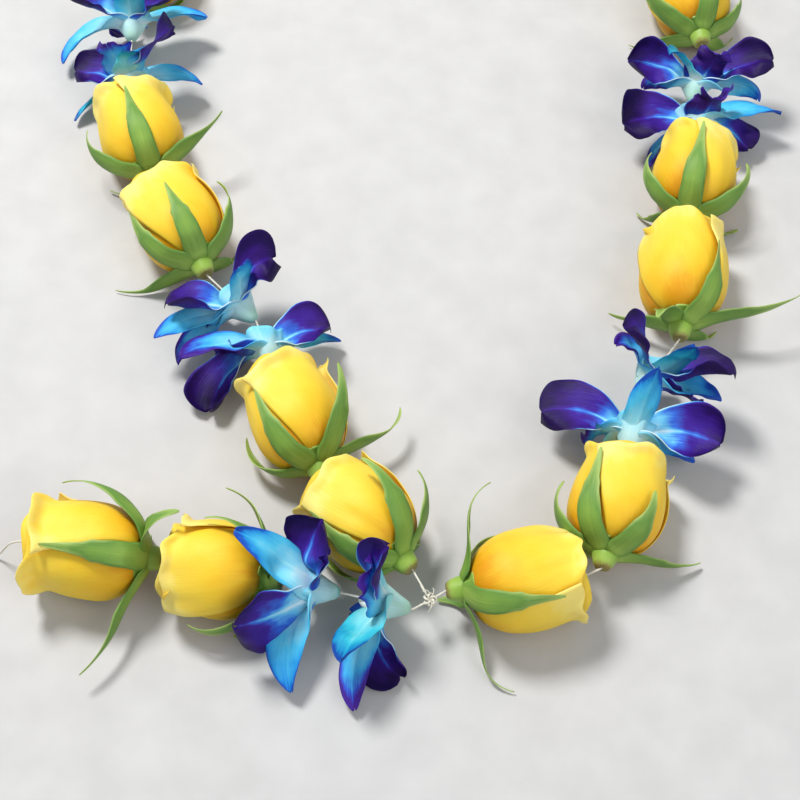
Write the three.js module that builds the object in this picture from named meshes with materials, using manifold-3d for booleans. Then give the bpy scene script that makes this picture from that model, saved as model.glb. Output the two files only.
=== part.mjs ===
// A fresh flower lei: pairs of yellow rosebuds and pairs of orchid blooms on one thread.
// Two strands leave a knot and close into a loop behind the neck, and a short tail hangs from the knot.
// Millimetres, +Z up. The lei lies flat, and every flower's axis is level, at the thread's height.
import * as THREE from "three";
import { mergeVertices } from "three/addons/utils/BufferGeometryUtils.js";
import Module from "manifold-3d";

const wasm = await Module();
wasm.setup();

// ---------- Driving dimensions ----------
const AXIS_HEIGHT = 16; // of the thread: less than a bud's radius, so each bud rests on a small flat
const KNOT_AT = [4.55, -196.06]; // the front knot, from the middle of the lei's box without its loose end
const THREAD_RADIUS = 0.4;
const THREAD_SIDES = 4;
const KNOT_RADIUS = 2.6; // the front knot
const TIE_RADIUS = 1.6; // the small tie behind the neck
const LOOSE_STEPS = 22; // along the thread's free end
const LOOSE_SIDES = 8;
const LOOSE_KNOT_RADIUS = 1.2;
const BORE_RADIUS = 1.7; // the needle's hole through each flower, to its corners
const BORE_SIDES = 3;
const NODE_GAP = 0.3; // between the loose end and the knot in its tip
const FLOOR_GAP = 0.6; // the lowest that the middle of a leaf or petal may lie

const ROSE_LENGTH = 50; // a middling rosebud, from the cut end of its hip to its petal tips
const BUD = [[8, 5], [10.5, 10.6], [14, 14.2], [20, 16.9], [27, 17.6], [34, 16.9], [41, 14.9], [50, 12.8]];
const PETAL_THICKNESS = 1.2;
const OUTER_PETALS = 3; // these wrap the whole bud
const PETAL_COLUMNS = [-76, -42, 0, 42, 80]; // degrees from a petal's midline, almost alike where two overlap
const PETAL_STEP = 1.1; // how far one edge stands over the next petal's
const PETAL_ROWS = [8.6, 15, 30, 50]; // heights along the bud
const CORE_ROWS = [9.2, 15, 30, 42.5]; // the closed middle of the bud, which the petals clothe
const HEART_PETALS = 2; // these stand in its mouth
const HEART_ROWS = [39, 47.5];
const HEART_RADIUS = 8.6;
const PETAL_ROUNDING = 4.5; // how far a petal's sides fall short of its tip
const PETAL_TURN = 36; // from the first sepal to the first petal's midline, in degrees
const HIP = [[0, 2.6], [2, 4.1], [5, 4.6], [7.4, 3.4]];
const HIP_SIDES = 5;
const SEPAL_WIDTH = [[0, 3], [0.3, 7.8], [0.65, 4], [1, 0.9]];
const SEPAL_ROOT = [5.4, 2.4]; // along the hip and out from its axis
const SEPAL_ROOT_LEAN = 62;
const SEPAL_KEEL = 0.9; // thickness along the midrib
const SEPAL_CLEAR = 2; // from a bud to a sepal that hugs it

const TEPAL_THICKNESS = 0.8;
const TEPAL_ROOT = [6, 1.6];
const TEPAL_ROOT_LEAN = 38;
const TEPAL_CUP = 0.22; // how far its edges rise, as a share of its half width
const ORCHID_TUBE = [[0.6, 2.4], [9, 4.6], [15.5, 2.4]];
const TUBE_SIDES = 6;
const SEPAL_SHAPE = { width: [[0, 5], [0.3, 12], [0.68, 13], [1, 2.4]], turn: 80 };
const PETAL_SHAPE = { width: [[0, 5], [0.35, 16], [0.72, 24], [1, 12]], turn: 100 };
const LIP_SHAPE = { width: [[0, 5], [0.5, 19], [1, 12]], turn: 30 };

// ---------- Poses: the lean from the flower's axis, in degrees, half way along and at the tip ----------
const HUG = [0, 0];
const LEAN = [30, -25];
const LIFT = [50, 5];
const FLARE = [75, 50];
const ARCH = [85, 20];
const REFLEX = [125, 165];

const OVER = [44, 16];
const UNDER = [42, 70];
const HALF = [55, 62];
const OPEN = [70, 90];
const SPREAD = [85, 115];
const ROLLED = [75, 160];
const BACK = [112, 150];

// ---------- The flowers, from the knot outwards ----------
// length and heading are a flower's stretch of thread, in millimetres and degrees from +X.
// Azimuths run from straight up towards the left of the way that a flower points.
// A rosebud's sepal is [azimuth, pose, length], and so is each sepal, petal and lip of an orchid bloom.
const rose = (length, heading, mouth, sepals) => ({ kind: "rose", length, heading, mouth, sepals });
const orchid = (length, heading, sepals, petals, lip) =>
  ({ kind: "orchid", length, heading, sepals, petals, lip });
const bare = (length, heading) => ({ kind: "bare", length, heading }); // thread with no flower on it

const LEFT = [
  rose(47, 132, 0.5, [[52, HUG, 34], [-22, LEAN, 38], [-80, LIFT, 30], [118, HUG, 30], [-146, FLARE, 26]]),
  rose(51, 113, 0.8, [[38, HUG, 34], [-38, LIFT, 36], [-96, ARCH, 38], [112, LEAN, 32], [-146, FLARE, 24]]),
  orchid(23, 110, [[72, SPREAD, 35], [-112, SPREAD, 33], [-150, UNDER, 24]],
    [[122, BACK, 38], [-90, SPREAD, 26]], [112, HALF, 23]),
  orchid(30, 133, [[-14, SPREAD, 26], [84, OPEN, 36], [107, SPREAD, 34]],
    [[62, HALF, 30], [-50, ROLLED, 26]], [140, HALF, 20]),
  rose(51, 117, 0.2, [[60, HUG, 34], [2, HUG, 32], [-68, LEAN, 36], [124, FLARE, 38], [-140, FLARE, 26]]),
  rose(50, 109, 1.2, [[4, HUG, 36], [78, LEAN, 34], [-70, FLARE, 34], [140, FLARE, 26], [-138, FLARE, 24]]),
  orchid(32, 93, [[-20, ROLLED, 22], [-98, SPREAD, 32], [122, BACK, 34]],
    [[92, OPEN, 25], [-42, OPEN, 32]], [22, OPEN, 20]),
  orchid(22, 95, [[0, SPREAD, 26], [-88, SPREAD, 34], [102, BACK, 38]],
    [[55, SPREAD, 31], [-50, SPREAD, 27]], [150, HALF, 20]),
];
const RIGHT = [
  rose(49, 7, 0.2, [[-42, HUG, 36], [50, ARCH, 36], [-118, ARCH, 38], [112, LIFT, 28], [170, REFLEX, 18]]),
  bare(6, 25),
  rose(46, 74, 1.0, [[32, HUG, 36], [88, LEAN, 30], [-36, LEAN, 26], [-112, FLARE, 34], [146, FLARE, 22]]),
  orchid(25, 78, [[-10, HALF, 30], [-112, SPREAD, 29], [138, BACK, 24]],
    [[88, SPREAD, 35], [-86, SPREAD, 34]], [116, SPREAD, 20]),
  orchid(32, 55, [[-25, OPEN, 28], [-84, OPEN, 28], [52, ROLLED, 24]],
    [[30, SPREAD, 29], [-56, OPEN, 34]], [-106, OPEN, 22]),
  rose(54, 82, 0.3, [[-34, HUG, 34], [-82, FLARE, 44], [36, REFLEX, 17], [112, FLARE, 26], [-146, FLARE, 26]]),
  rose(47, 76, 0.4, [[4, HUG, 38], [72, LEAN, 30], [-66, LEAN, 32], [132, FLARE, 24], [-134, FLARE, 28]]),
  orchid(20, 95, [[140, BACK, 38], [-90, SPREAD, 38], [176, UNDER, 24]],
    [[88, SPREAD, 33], [-110, BACK, 28]], [-25, ROLLED, 20]),
  orchid(34.5, 77, [[38, ROLLED, 24], [104, ROLLED, 26], [-92, ROLLED, 32]],
    [[78, SPREAD, 32], [-66, OPEN, 34]], [-20, OPEN, 20]),
];
const TAIL = [
  orchid(25, 166, [[70, OPEN, 32], [110, SPREAD, 40], [176, UNDER, 24]],
    [[134, BACK, 34], [-14, SPREAD, 30]], [-10, OPEN, 23]),
  orchid(14.6, 170, [[-8, OVER, 39], [106, SPREAD, 38], [128, OPEN, 30]],
    [[66, OVER, 34], [-40, SPREAD, 26]], [-55, SPREAD, 19]),
  bare(6, 168),
  rose(42, 168, 1.0, [[-30, LEAN, 30], [100, LEAN, 30], [-80, LIFT, 34], [144, FLARE, 26], [-142, FLARE, 26]]),
  rose(49, 172, 4, [[24, HUG, 38], [-44, LEAN, 40], [100, FLARE, 42], [-20, REFLEX, 26], [-142, FLARE, 26]]),
];

// Behind the neck the strands turn evenly towards each other until their last rosebuds meet, mouth to mouth.
const BACK_PATTERN = ["rose", "rose", "orchid", "orchid", "rose"];
const BACK_TURN = { left: -19, right: 18.1 }; // degrees at each flower
const BACK_ORCHID_LENGTH = 26;
const BACK_SEPALS = [[176, UNDER, 25], [58, SPREAD, 31], [-58, SPREAD, 31]];
const BACK_PETALS = [[102, OPEN, 31], [-102, OPEN, 31]];
const BACK_LIP = [0, HALF, 21];

// Where each strand's first flower starts, from the knot.
const STARTS = { left: [-6, 11.4], right: [5.6, 3.4], tail: [-6, -3.5] };

// ---------- Small mathematics ----------
const radians = THREE.MathUtils.degToRad;

// A smooth curve through [x, y] pairs: cubic pieces with the slopes of their neighbours.
function smooth(points, x) {
  const last = points.length - 1;
  if (x <= points[0][0]) return points[0][1];
  if (x >= points[last][0]) return points[last][1];
  const i = points.findIndex((p) => p[0] > x) - 1;
  const slope = (k) => {
    const a = points[Math.max(k - 1, 0)];
    const b = points[Math.min(k + 1, last)];
    return (b[1] - a[1]) / (b[0] - a[0]);
  };
  const [x0, y0] = points[i];
  const [x1, y1] = points[i + 1];
  const h = x1 - x0;
  const t = (x - x0) / h;
  const rise = t * t * (3 - 2 * t);
  return y0 + (y1 - y0) * rise + h * (slope(i) * t * (1 - t) ** 2 - slope(i + 1) * t * t * (1 - t));
}

// Draws the same numbers each time.
function randomFrom(seed) {
  let state = seed;
  return (low, high) => {
    state = (state * 1664525 + 1013904223) % 4294967296;
    return low + ((high - low) * state) / 4294967296;
  };
}

// A flower's own frame: +X along its axis, +Y to its left, +Z up. rho runs outwards at an azimuth.
function place(x, rho, azimuth) {
  return new THREE.Vector3(x, rho * Math.sin(azimuth), rho * Math.cos(azimuth));
}

// What would sink into the surface comes to lie on it instead, in the order of its depth.
function settle(point, softness) {
  const above = point.z + AXIS_HEIGHT - FLOOR_GAP;
  if (above < softness) point.z += softness * Math.exp(above / softness - 1) - above;
  return point;
}

// ---------- Meshes and solids ----------
// A closed mesh through rings of points, each ring the same way round.
function loftGeometry(rings) {
  const sides = rings[0].length;
  const index = [];
  for (let r = 0; r + 1 < rings.length; r++) {
    for (let s = 0; s < sides; s++) {
      const a = r * sides + s;
      const b = r * sides + ((s + 1) % sides);
      index.push(a, b, b + sides, a, b + sides, a + sides);
    }
  }
  const end = (rings.length - 1) * sides;
  for (let s = 1; s + 1 < sides; s++) {
    index.push(0, s + 1, s, end, end + s, end + s + 1);
  }
  return indexed(rings.flat(), index);
}

// A thin blade about a grid of points, rows from its root to its tip, split alike on both faces.
function bladeGeometry(rows, thickness) {
  const across = rows[0].length;
  const points = [];
  for (const side of [0.5, -0.5]) {
    rows.forEach((row, r) => row.forEach((point, c) => {
      const along = rows[Math.min(r + 1, rows.length - 1)][c].clone().sub(rows[Math.max(r - 1, 0)][c]);
      const over = row[Math.min(c + 1, across - 1)].clone().sub(row[Math.max(c - 1, 0)]);
      const normal = over.cross(along).normalize();
      points.push(point.clone().addScaledVector(normal, side * thickness));
    }));
  }
  const under = rows.length * across;
  const index = [];
  const quad = (a, b, c, d) => index.push(a, b, c, a, c, d);
  for (let r = 0; r + 1 < rows.length; r++) {
    for (let c = 0; c + 1 < across; c++) {
      const a = r * across + c;
      index.push(a, a + 1, a + across + 1, a, a + across + 1, a + across);
      const b = a + under;
      index.push(b, b + across + 1, b + 1, b, b + across, b + across + 1);
    }
  }
  for (let c = 0; c + 1 < across; c++) {
    const a = (rows.length - 1) * across + c;
    quad(c + under, c + 1 + under, c + 1, c);
    quad(a, a + 1, a + 1 + under, a + under);
  }
  for (let r = 0; r + 1 < rows.length; r++) {
    const a = r * across;
    const b = a + across - 1;
    quad(a + across, a + across + under, a + under, a);
    quad(b, b + under, b + across + under, b + across);
  }
  return indexed(points, index);
}

function indexed(points, index) {
  const geometry = new THREE.BufferGeometry().setFromPoints(points);
  geometry.setIndex(index);
  return geometry;
}

function solidOf(geometry) {
  const bare = new THREE.BufferGeometry();
  bare.setAttribute("position", geometry.getAttribute("position").clone());
  bare.setIndex(geometry.index);
  const merged = mergeVertices(bare, 1e-4);
  const solid = new wasm.Manifold(new wasm.Mesh({
    numProp: 3,
    vertProperties: new Float32Array(merged.attributes.position.array),
    triVerts: new Uint32Array(merged.index.array),
  }));
  if (solid.volume() < 0) throw new Error("a piece is inside out");
  return solid;
}

function geometryOf(solid) {
  const mesh = solid.getMesh();
  const geometry = new THREE.BufferGeometry();
  geometry.setAttribute("position", new THREE.BufferAttribute(new Float32Array(mesh.vertProperties), 3));
  geometry.setIndex(new THREE.BufferAttribute(new Uint32Array(mesh.triVerts), 1));
  return geometry;
}

// One body: the largest piece of the join, with any hollow that joining seals filled.
function fused(solids) {
  const pieces = solids.reduce((whole, next) => whole.add(next)).decompose();
  return pieces.reduce((best, piece) => (piece.volume() > best.volume() ? piece : best));
}

// A solid of revolution about +X from [x, radius] pairs, closed on the axis, with its seam at one azimuth.
function turned(profile, sides, seam = 0) {
  const points = profile.map(([x, radius]) => new THREE.Vector2(radius, x));
  points.unshift(new THREE.Vector2(0, profile[0][0]));
  points.push(new THREE.Vector2(0, profile[profile.length - 1][0]));
  return solidOf(new THREE.LatheGeometry(points, sides, -seam).rotateZ(-Math.PI / 2));
}

// The hole that the needle made, from one end of a flower to the other.
function bore() {
  return solidOf(new THREE.CylinderGeometry(BORE_RADIUS, BORE_RADIUS, 200, BORE_SIDES).rotateZ(Math.PI / 2));
}

// Everything under the surface, to press a bud flat where it lies on it.
function ground() {
  const depth = 20;
  return solidOf(new THREE.BoxGeometry(200, 200, depth).translate(0, 0, -AXIS_HEIGHT - depth / 2));
}

// A curved path in the half plane at one azimuth: [x, rho, lean] at each share of its length.
function meridian(start, leans, length, shares, clearance = () => 0) {
  const steps = 40;
  const path = [];
  let [x, rho] = start;
  const lean = (share) => radians(smooth([[0, leans[0]], [0.5, leans[1]], [1, leans[2]]], share));
  let wanted = 0;
  for (let i = 0; i <= steps; i++) {
    const share = i / steps;
    while (wanted < shares.length && shares[wanted] <= share + 1e-9) {
      path.push([x, rho, lean(share)]);
      wanted++;
    }
    x += (Math.cos(lean(share)) * length) / steps;
    rho = Math.max(rho + (Math.sin(lean(share)) * length) / steps, clearance(x));
  }
  return path;
}

// ---------- Rosebuds ----------
const budRadius = (x, size) => smooth(BUD, x / size);

// How far the petal edges roll out at the mouth.
const mouthRoll = (x, size, mouth) => mouth * Math.max(0, (x / size - 38) / 12) ** 2;

// The middle of an outer petal's thickness, from the axis: one edge lies under the petal before it.
function petalRadius(flower, size, x, column) {
  const across = column / PETAL_COLUMNS[PETAL_COLUMNS.length - 1];
  const under = (PETAL_STEP * (1 - across)) / 2 + PETAL_THICKNESS / 2;
  return budRadius(x, size) - under * Math.min(1, x / (14 * size)) + mouthRoll(x, size, flower.mouth);
}

function outerPetal(flower, size, turn) {
  const reach = PETAL_COLUMNS[PETAL_COLUMNS.length - 1];
  const rows = PETAL_ROWS.map((height, r) => PETAL_COLUMNS.map((column) => {
    const rounding = r === PETAL_ROWS.length - 1 ? PETAL_ROUNDING * (column / reach) ** 2 : 0;
    const x = (height - rounding) * size;
    return place(x, petalRadius(flower, size, x, column), turn + radians(column));
  }));
  return solidOf(bladeGeometry(rows, PETAL_THICKNESS));
}

function budCore(flower, size, first) {
  const seen = PETAL_COLUMNS.slice(1, -1);
  const rings = CORE_ROWS.map((height) => Array.from({ length: OUTER_PETALS }, (_, p) => seen.map((column) => {
    const azimuth = first + radians(column + (360 * p) / OUTER_PETALS);
    return place(height * size, petalRadius(flower, size, height * size, column), azimuth);
  })).flat().reverse());
  return solidOf(loftGeometry(rings));
}

function heartPetal(size, turn) {
  const rows = HEART_ROWS.map((height, r) => [-1, 0, 1].map((across) => {
    const x = (height - 2.5 * r * across * across) * size;
    return place(x, HEART_RADIUS + 0.9 * across - 1.2 * r, turn + radians(84) * across);
  }));
  return solidOf(bladeGeometry(rows, PETAL_THICKNESS));
}

function rosePetals(flower) {
  const size = flower.length / ROSE_LENGTH;
  const first = radians(flower.sepals[0][0] + PETAL_TURN);
  const petalTurn = (2 * Math.PI) / OUTER_PETALS;
  const heartTurn = (2 * Math.PI) / HEART_PETALS;
  const solids = [budCore(flower, size, first)];
  for (let p = 0; p < OUTER_PETALS; p++) solids.push(outerPetal(flower, size, first + p * petalTurn));
  for (let p = 0; p < HEART_PETALS; p++) solids.push(heartPetal(size, first + 1 + p * heartTurn));
  return fused([fused(solids).subtract(ground()).subtract(bore())]);
}

// A narrow leaf with a flat inner face and a keel along its outer midrib.
// Each station is [middle, direction across, direction outwards, half width].
function keeledBlade(stations, keel) {
  const rings = stations.map(([middle, side, out, half], i) => {
    const edge = (sign) => settle(middle.clone().addScaledVector(side, sign * half), 2);
    const ridge = keel * (i === stations.length - 1 ? 0.7 : 1);
    return [edge(1), settle(middle.clone().addScaledVector(out, ridge), 0.5), edge(-1)];
  });
  return solidOf(loftGeometry(rings));
}

function sepalBlade(flower, size, [azimuth, pose, length]) {
  const clearance = (x) => {
    const past = Math.min(1, Math.max(0, x / 6 - 0.8));
    return budRadius(x + 1.6, size) + mouthRoll(x, size, flower.mouth) + SEPAL_CLEAR * past;
  };
  const shares = SEPAL_WIDTH.map(([share]) => share);
  const root = [SEPAL_ROOT[0] * size, SEPAL_ROOT[1]];
  const path = meridian(root, [SEPAL_ROOT_LEAN, ...pose], length, shares, clearance);
  const turn = radians(azimuth);
  const side = new THREE.Vector3(0, Math.cos(turn), -Math.sin(turn));
  const stations = path.map(([x, rho, lean], i) => {
    const out = place(-Math.sin(lean), Math.cos(lean), turn);
    return [settle(place(x, rho, turn), 2), side, out, SEPAL_WIDTH[i][1] / 2];
  });
  return keeledBlade(stations, SEPAL_KEEL);
}

function roseCalyx(flower) {
  const size = flower.length / ROSE_LENGTH;
  const solids = [turned(HIP.map(([x, radius]) => [x * size, radius]), HIP_SIDES)];
  for (const sepal of flower.sepals) solids.push(sepalBlade(flower, size, sepal));
  return fused([fused(solids).subtract(bore())]);
}

// ---------- Orchid blooms ----------
// Stations along a sepal, petal or lip, which turns its face up the more it stands out sideways.
// One that leans over the next flower keeps its face on that flower instead.
function tepalStations(shape, [azimuth, pose, length]) {
  const turn = radians(azimuth);
  const faceTurn = pose === OVER ? 0 : radians(shape.turn);
  const path = meridian(TEPAL_ROOT, [TEPAL_ROOT_LEAN, ...pose], length, shape.width.map(([share]) => share));
  return path.map(([x, rho, lean], r) => {
    const along = place(Math.cos(lean), Math.sin(lean), turn);
    const side = new THREE.Vector3(0, Math.cos(turn), -Math.sin(turn));
    side.applyAxisAngle(along, -faceTurn * Math.sin(turn));
    return [settle(place(x, rho, turn), 4), side, along.clone().cross(side), shape.width[r][1] / 2];
  });
}

function orchidSepal(sepal) {
  return keeledBlade(tepalStations(SEPAL_SHAPE, sepal), TEPAL_THICKNESS);
}

function cuppedBlade(shape, tepal) {
  const rows = tepalStations(shape, tepal).map(([middle, side, back, half]) => [-1, 0, 1].map((across) => {
    const flat = middle.clone().addScaledVector(side, across * half);
    return settle(flat.addScaledVector(back, -TEPAL_CUP * half * across ** 2), 6);
  }));
  return solidOf(bladeGeometry(rows, TEPAL_THICKNESS));
}

function orchidBloom(flower) {
  const solids = [turned(ORCHID_TUBE, TUBE_SIDES)];
  for (const sepal of flower.sepals) solids.push(orchidSepal(sepal));
  for (const petal of flower.petals) solids.push(cuppedBlade(PETAL_SHAPE, petal));
  solids.push(cuppedBlade(LIP_SHAPE, flower.lip));
  return fused([fused(solids).subtract(bore())]);
}

// ---------- The strands ----------
// The flowers behind the neck, turning evenly from the strand's last heading.
function backFlowers(strand, turn, seed) {
  const random = randomFrom(seed);
  let heading = strand[strand.length - 1].heading;
  return BACK_PATTERN.map((kind) => {
    heading += turn;
    if (kind === "orchid") {
      const first = random(-25, 25);
      const varied = ([azimuth, [middle, tip], length]) => {
        const turn = azimuth + first + random(-6, 6);
        const pose = [middle + random(-8, 8), tip + random(-15, 20)];
        return [turn, pose, length + random(-3, 3)];
      };
      const sepals = BACK_SEPALS.map(varied);
      return orchid(BACK_ORCHID_LENGTH, heading, sepals, BACK_PETALS.map(varied), varied(BACK_LIP));
    }
    const poses = [HUG, LEAN, LIFT, LEAN, FLARE];
    const first = random(-20, 20);
    const sepals = [0, 72, -72, 132, -132].map((azimuth, i) =>
      [azimuth + first, poses[Math.floor(random(0, i > 2 ? 2 : 4)) + (i > 2 ? 3 : 0)], random(28, 38)]);
    return rose(ROSE_LENGTH, heading, random(0.2, 1.4), sepals);
  });
}

// Walks along a strand and gives each flower its place, its number and the thread's points.
function laidOut(name, flowers) {
  let [x, y] = STARTS[name];
  const thread = [];
  let roses = 0;
  let blooms = 0;
  const placed = [];
  for (const flower of flowers) {
    if (flower.kind === "rose") roses++;
    if (flower.kind === "orchid") blooms++;
    const number = flower.kind === "rose" ? roses : blooms;
    const here = { ...flower, x, y, label: `${flower.kind}_${name}_${number}` };
    const heading = radians(flower.heading);
    thread.push([x, y]);
    x += flower.length * Math.cos(heading);
    y += flower.length * Math.sin(heading);
    thread.push([x, y]);
    if (flower.kind !== "bare") placed.push(here);
  }
  return { placed, thread };
}

const left = laidOut("left", [...LEFT, ...backFlowers(LEFT, BACK_TURN.left, 11)]);
const right = laidOut("right", [...RIGHT, ...backFlowers(RIGHT, BACK_TURN.right, 23)]);
const tail = laidOut("tail", TAIL);

// ---------- The thread ----------
function threadRing([x, y], [dx, dy]) {
  const heading = Math.atan2(dy, dx);
  return Array.from({ length: THREAD_SIDES }, (_, s) => {
    const around = (2 * Math.PI * s) / THREAD_SIDES;
    const sideways = THREAD_RADIUS * Math.cos(around);
    return new THREE.Vector3(
      x - sideways * Math.sin(heading), y + sideways * Math.cos(heading), THREAD_RADIUS * Math.sin(around));
  });
}

function threadThrough(points) {
  const step = (i) => Math.hypot(points[i][0] - points[i - 1][0], points[i][1] - points[i - 1][1]);
  const kept = points.filter((point, i) => i === 0 || step(i) > 0.5);
  const rings = kept.map((point, i) => {
    const before = kept[Math.max(i - 1, 0)];
    const after = kept[Math.min(i + 1, kept.length - 1)];
    return threadRing(point, [after[0] - before[0], after[1] - before[1]]);
  });
  return solidOf(loftGeometry(rings));
}

// The front knot: a wrap of thread round a small heart.
function frontKnot() {
  const heart = new THREE.IcosahedronGeometry(KNOT_RADIUS * 0.8);
  const wrap = new THREE.TorusGeometry(KNOT_RADIUS * 0.65, KNOT_RADIUS * 0.35, 4, 7);
  return fused([solidOf(heart), solidOf(wrap.rotateX(1.2).rotateY(0.8))]);
}

function wholeThread() {
  const loop = [[0, 0], ...left.thread, ...right.thread.toReversed(), [0, 0]];
  const [a, b] = [left.thread.at(-1), right.thread.at(-1)];
  const tie = new THREE.OctahedronGeometry(TIE_RADIUS);
  tie.translate((a[0] + b[0]) / 2, (a[1] + b[1]) / 2, 0);
  return fused([
    frontKnot(),
    threadThrough(loop),
    threadThrough([[0, 0], ...tail.thread]),
    solidOf(tie),
  ]);
}

// The free end leaves the last rosebud's mouth, sags to the surface and lies along it.
// Each point is [outwards, to the left, above the surface], from the mouth.
const LOOSE_ROUTE = [
  [0.4, 0, 16], [2.6, 0, 15.8], [5.2, 0.1, 14.8], [7.6, 0.2, 12.8], [9.6, 0.3, 10], [11.4, 0.4, 6.9],
  [13.2, 0.5, 4], [15.4, 0.5, 1.7], [18.4, 0.4, 0.6], [22, 0.1, 0.45], [27, -0.5, 0.45], [32, -0.9, 0.45],
  [37, -0.8, 0.45], [42, -0.2, 0.45], [47, 0.6, 0.45],
];

function looseThread() {
  const points = LOOSE_ROUTE.map(([x, y, z]) => new THREE.Vector3(x, y, z - AXIS_HEIGHT));
  const section = new THREE.Shape();
  for (let s = 0; s < LOOSE_SIDES; s++) {
    const around = (2 * Math.PI * s) / LOOSE_SIDES;
    const corner = [THREAD_RADIUS * Math.cos(around), THREAD_RADIUS * Math.sin(around)];
    if (s === 0) section.moveTo(...corner);
    else section.lineTo(...corner);
  }
  const extrudePath = new THREE.CatmullRomCurve3(points);
  return solidOf(new THREE.ExtrudeGeometry(section, { steps: LOOSE_STEPS, extrudePath, bevelEnabled: false }));
}

function looseKnot() {
  const [x, y] = LOOSE_ROUTE[LOOSE_ROUTE.length - 1];
  const past = LOOSE_KNOT_RADIUS + NODE_GAP;
  const lift = LOOSE_KNOT_RADIUS - AXIS_HEIGHT;
  return solidOf(new THREE.IcosahedronGeometry(LOOSE_KNOT_RADIUS).translate(x + past, y, lift));
}

// ---------- The part ----------
const YELLOW = new THREE.MeshStandardMaterial({ color: 0xf6cf35, roughness: 0.6, metalness: 0 });
const GREEN = new THREE.MeshStandardMaterial({ color: 0x6f9a3c, roughness: 0.65, metalness: 0 });
const BLUE = new THREE.MeshStandardMaterial({ color: 0x2f6fc9, roughness: 0.5, metalness: 0 });
const WHITE = new THREE.MeshStandardMaterial({ color: 0xe6e2d2, roughness: 0.7, metalness: 0 });

function named(name, solid, material) {
  const mesh = new THREE.Mesh(geometryOf(solid), material);
  mesh.name = name;
  return mesh;
}

function flowerGroup(flower) {
  const group = new THREE.Group();
  if (flower.kind === "rose") {
    group.add(named(`${flower.label}_petals`, rosePetals(flower), YELLOW));
    group.add(named(`${flower.label}_calyx`, roseCalyx(flower), GREEN));
  } else {
    group.add(named(flower.label, orchidBloom(flower), BLUE));
  }
  group.position.set(flower.x, flower.y, 0);
  group.rotation.z = radians(flower.heading);
  return group;
}

function looseEnd() {
  const group = new THREE.Group();
  const last = tail.placed[tail.placed.length - 1];
  const heading = radians(last.heading);
  group.add(named("thread_end", looseThread(), WHITE), named("thread_end_knot", looseKnot(), WHITE));
  group.position.set(last.x + last.length * Math.cos(heading), last.y + last.length * Math.sin(heading), 0);
  group.rotation.z = heading;
  return group;
}

const lei = new THREE.Group();
lei.add(named("thread", wholeThread(), WHITE), looseEnd());
for (const flower of [...left.placed, ...right.placed, ...tail.placed]) lei.add(flowerGroup(flower));
lei.position.set(KNOT_AT[0], KNOT_AT[1], AXIS_HEIGHT);

export default lei;
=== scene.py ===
"""Looks of a fresh flower lei: yellow rosebuds and blue orchid blooms in pairs on one cotton thread.

Flowers are worked out in millimetres in their own frames, +X along the thread, +Y left, +Z up,
and turned and moved to their places along each strand.
"""

import math

import bpy
import numpy as np
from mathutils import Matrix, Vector


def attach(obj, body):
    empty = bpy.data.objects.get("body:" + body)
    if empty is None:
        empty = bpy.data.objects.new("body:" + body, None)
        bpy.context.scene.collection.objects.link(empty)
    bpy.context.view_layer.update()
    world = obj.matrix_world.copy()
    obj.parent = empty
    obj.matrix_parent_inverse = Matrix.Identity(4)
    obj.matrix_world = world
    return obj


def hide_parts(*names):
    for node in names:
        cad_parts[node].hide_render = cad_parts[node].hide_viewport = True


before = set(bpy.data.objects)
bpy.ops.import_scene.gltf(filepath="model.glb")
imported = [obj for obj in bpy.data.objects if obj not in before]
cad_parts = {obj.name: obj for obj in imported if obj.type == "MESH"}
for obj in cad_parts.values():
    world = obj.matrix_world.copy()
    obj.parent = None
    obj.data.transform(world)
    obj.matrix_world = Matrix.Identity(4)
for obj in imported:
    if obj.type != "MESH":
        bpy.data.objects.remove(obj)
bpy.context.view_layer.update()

# ---------- Dimensions, in millimetres ----------
MM = 0.001
AXIS_HEIGHT = 16.0  # the thread above the surface
KNOT_AT = np.array([4.55, -196.06])
FLOOR_GAP = 0.6

# Outlines are (x, radius) pairs along a flower's axis, from its root. A root is the (x, radius) of a leaf's
# foot, and its lean is in degrees from the axis.
ROSE_LENGTH = 50.0
BUD = [(8, 5), (10.5, 10.6), (14, 14.2), (20, 16.9), (27, 17.6), (34, 17.1), (41, 15.7), (50, 13.8)]
MOUTH_FROM = 38.0  # where a wide mouth starts to open
HEART = [(26, 2.0), (32, 3.6), (40, 3.4), (46, 1.2)]
OUTER_PETALS = 3
PETAL_THICKNESS = 0.7
PETAL_FOOT = 8.6
PETAL_LAID_AT = 14.0  # where a petal has reached its full depth in the bud's layers
PETAL_MARGIN = 48.4  # where an outer petal ends, at its midline
PETAL_MARGIN_DIP = 3.2  # how much sooner a petal ends at its edges
PETAL_REACH = 78.0  # degrees each way from a petal's midline
PETAL_TURN = 36.0  # degrees from the first sepal to the first petal's midline
PETAL_SPIRAL = 34.0  # degrees that the petals' edges wind round the bud on the way to its mouth
PETAL_STEP = 1.1  # how much deeper a petal's covered edge lies than its free edge
PETAL_HALF_WIDTH = 24.0  # for the veins
PETAL_DENTS = 3
INNER_FOOT = 14.0
INNER_THICKNESS = 0.55
INNER_REACH = 80.0
INNER_HALF_WIDTH = 16.0
# Whorls of inner petals: the share of the bud's radius, where they end, how many, and the degrees turned
INNER_WHORLS = [(0.87, 48.4, 3, 60), (0.7, 48.0, 3, 15), (0.53, 47.4, 3, 80), (0.36, 46.6, 2, 40)]
HIP = [(0, 2.5), (1.4, 3.5), (4.2, 4.4), (6.4, 4.8), (8.0, 6.0), (9.4, 8.8)]
SEPAL_ROOT = (5.4, 2.4)
SEPAL_ROOT_LEAN = 62
SEPAL_WIDTH = [(0, 3), (0.3, 7.8), (0.65, 4), (1, 0.9)]  # by share of its length
SEPAL_CLEAR = 2.0  # from a sepal to the petals under it

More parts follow.
